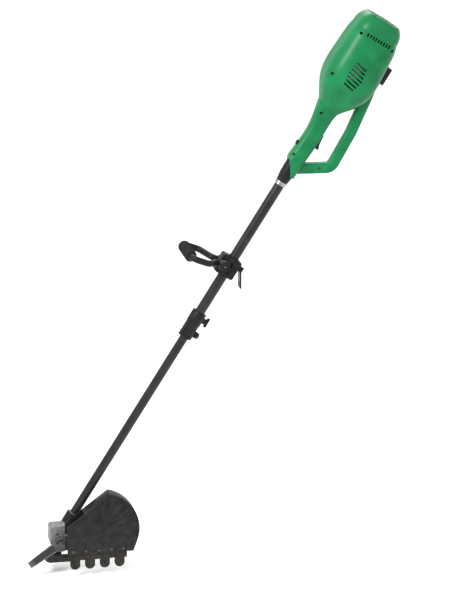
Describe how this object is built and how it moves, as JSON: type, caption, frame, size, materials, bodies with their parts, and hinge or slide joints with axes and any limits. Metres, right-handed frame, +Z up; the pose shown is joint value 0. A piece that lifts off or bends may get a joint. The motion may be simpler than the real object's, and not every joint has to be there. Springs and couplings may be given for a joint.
{
  "type": "lawn edger",
  "caption": "Hand-held electric lawn edger: motor and D-handle at the top of a two-piece tube, loop handle, coupling, and a bevel-geared bar blade with a guard and rubber flap.",
  "frame": {"origin": "on the ground under the middle of the tool's box, in its working pose", "axes": "+Z up, +X back towards the operator and the motor, -Y the operator's left, where the blade is; the shaft leans 57.5 degrees from level in the XZ plane"},
  "size_m": [0.9334, 0.14, 1.362],
  "materials": {
    "green_plastic": "satin moulded",
    "black_plastic": "moulded",
    "black_rubber": "soft",
    "black_tube": "satin powder coat",
    "black_steel": "black stove enamel",
    "zinc_steel": "zinc plated",
    "ground_steel": "ground",
    "cast_alloy": "cast, bead blasted",
    "copper_wire": "enamelled copper",
    "carbon": "graphite",
    "brass": "plain",
    "lamination": "stacked sheet",
    "white_plastic": "moulded"
  },
  "bodies": {
    "power_head_and_shaft": {"housing_left": "green_plastic", "housing_right": "green_plastic", "housing_screws": "zinc_steel", "end_cap": "green_plastic", "end_cap_screws": "zinc_steel", "trigger_spring": "zinc_steel", "power_switch": "black_plastic", "mains_inlet": "black_plastic", "inlet_pins": "brass", "motor_brackets": "black_plastic", "stator_core": "lamination", "field_windings": "copper_wire", "brush_holders": "brass", "carbon_brushes": "carbon", "motor_bearings": "ground_steel", "shaft_collar": "black_plastic", "collar_ring": "zinc_steel", "upper_tube": "black_tube", "drive_bushes": "white_plastic", "coupling_body": "black_plastic", "plunger_spring": "ground_steel", "lower_tube": "black_tube", "gear_case": "cast_alloy", "gear_cover": "cast_alloy", "gear_cover_screws": "zinc_steel", "neck_clamp": "black_plastic", "head_screws": "zinc_steel", "pinion_bearings": "ground_steel", "spindle_bearings": "ground_steel", "blade_guard": "black_plastic", "debris_flap": "black_rubber", "flap_strip": "black_steel", "flap_rivets": "zinc_steel"},
    "trigger_lever": {"trigger": "black_plastic"},
    "lock_button": {"lock_off_button": "black_plastic"},
    "drive_line": {"rotor_shaft": "ground_steel", "armature_core": "lamination", "armature_winding": "copper_wire", "commutator": "brass", "cooling_fan": "white_plastic", "upper_drive_shaft": "ground_steel", "lower_drive_shaft": "ground_steel", "drive_pinion": "ground_steel"},
    "blade_unit": {"driven_gear": "ground_steel", "output_spindle": "ground_steel", "blade_flanges": "zinc_steel", "edger_blade": "black_steel", "blade_nut": "zinc_steel"},
    "handle_clamp": {"clamp_front": "black_plastic", "clamp_back": "black_plastic", "clamp_screws": "zinc_steel", "handle_bolt": "zinc_steel"},
    "loop": {"loop_handle": "black_plastic", "loop_grip": "black_rubber"},
    "clamp_knob": {"handle_knob": "black_plastic"},
    "hanging_eye": {"strap_eye": "black_steel"},
    "tube_knob": {"coupling_knob": "black_plastic"},
    "plunger": {"lock_plunger": "zinc_steel"},
    "skid": {"depth_skid": "black_steel"},
    "skid_hand_knob": {"skid_knob": "black_plastic"}
  },
  "joints": [
    {"name": "trigger_pull", "type": "hinge", "parent": "power_head_and_shaft", "child": "trigger_lever", "pos_m": [0.27611, 0, 1.07054], "axis": [0, 1, 0], "range_deg": [0, 8], "stiffness_Nm_per_rad": 0.6, "springref_deg": -14.32},
    {"name": "lock_off_press", "type": "slide", "parent": "power_head_and_shaft", "child": "lock_button", "axis": [0.8434, 0, -0.5373], "range_m": [0, 0.003], "stiffness_N_per_m": 400, "springref_m": -0.003},
    {"name": "motor_spin", "type": "hinge", "parent": "power_head_and_shaft", "child": "drive_line", "pos_m": [-0.38291, 0, 0.064], "axis": [0.5373, 0, 0.8434], "continuous": true},
    {"name": "blade_spin", "type": "hinge", "parent": "power_head_and_shaft", "child": "blade_unit", "pos_m": [-0.38291, 0, 0.064], "axis": [0, 1, 0], "continuous": true},
    {"name": "handle_slide", "type": "slide", "parent": "power_head_and_shaft", "child": "handle_clamp", "axis": [0.5373, 0, 0.8434], "range_m": [-0.08, 0.14]},
    {"name": "loop_tilt", "type": "hinge", "parent": "handle_clamp", "child": "loop", "pos_m": [0.03029, 0, 0.75168], "axis": [0, 1, 0], "range_deg": [-35, 25]},
    {"name": "handle_knob_turn", "type": "hinge", "parent": "handle_clamp", "child": "clamp_knob", "pos_m": [0.03029, -0.036, 0.75168], "axis": [0, 1, 0], "range_deg": [0, 360]},
    {"name": "strap_eye_swing", "type": "hinge", "parent": "handle_clamp", "child": "hanging_eye", "pos_m": [0.07561, 0, 0.73348], "axis": [0, 1, 0], "range_deg": [-60, 25]},
    {"name": "coupling_knob_turn", "type": "hinge", "parent": "power_head_and_shaft", "child": "tube_knob", "pos_m": [-0.00898, 0, 0.59885], "axis": [0.8434, 0, -0.5373], "range_deg": [0, 360]},
    {"name": "lock_plunger_pull", "type": "slide", "parent": "power_head_and_shaft", "child": "plunger", "axis": [0.8434, 0, -0.5373], "range_m": [0, 0.003], "stiffness_N_per_m": 600, "springref_m": -0.003, "deforming": ["plunger_spring"]},
    {"name": "skid_depth", "type": "slide", "parent": "power_head_and_shaft", "child": "skid", "axis": [0, 0, -1], "range_m": [0, 0.024]},
    {"name": "skid_knob_turn", "type": "hinge", "parent": "power_head_and_shaft", "child": "skid_hand_knob", "pos_m": [-0.38291, 0.03, 0.049], "axis": [0, 1, 0], "range_deg": [0, 360]}
  ],
  "couplings": [
    {"joint": "blade_spin", "follows": "motor_spin", "ratio": 0.70588}
  ]
}
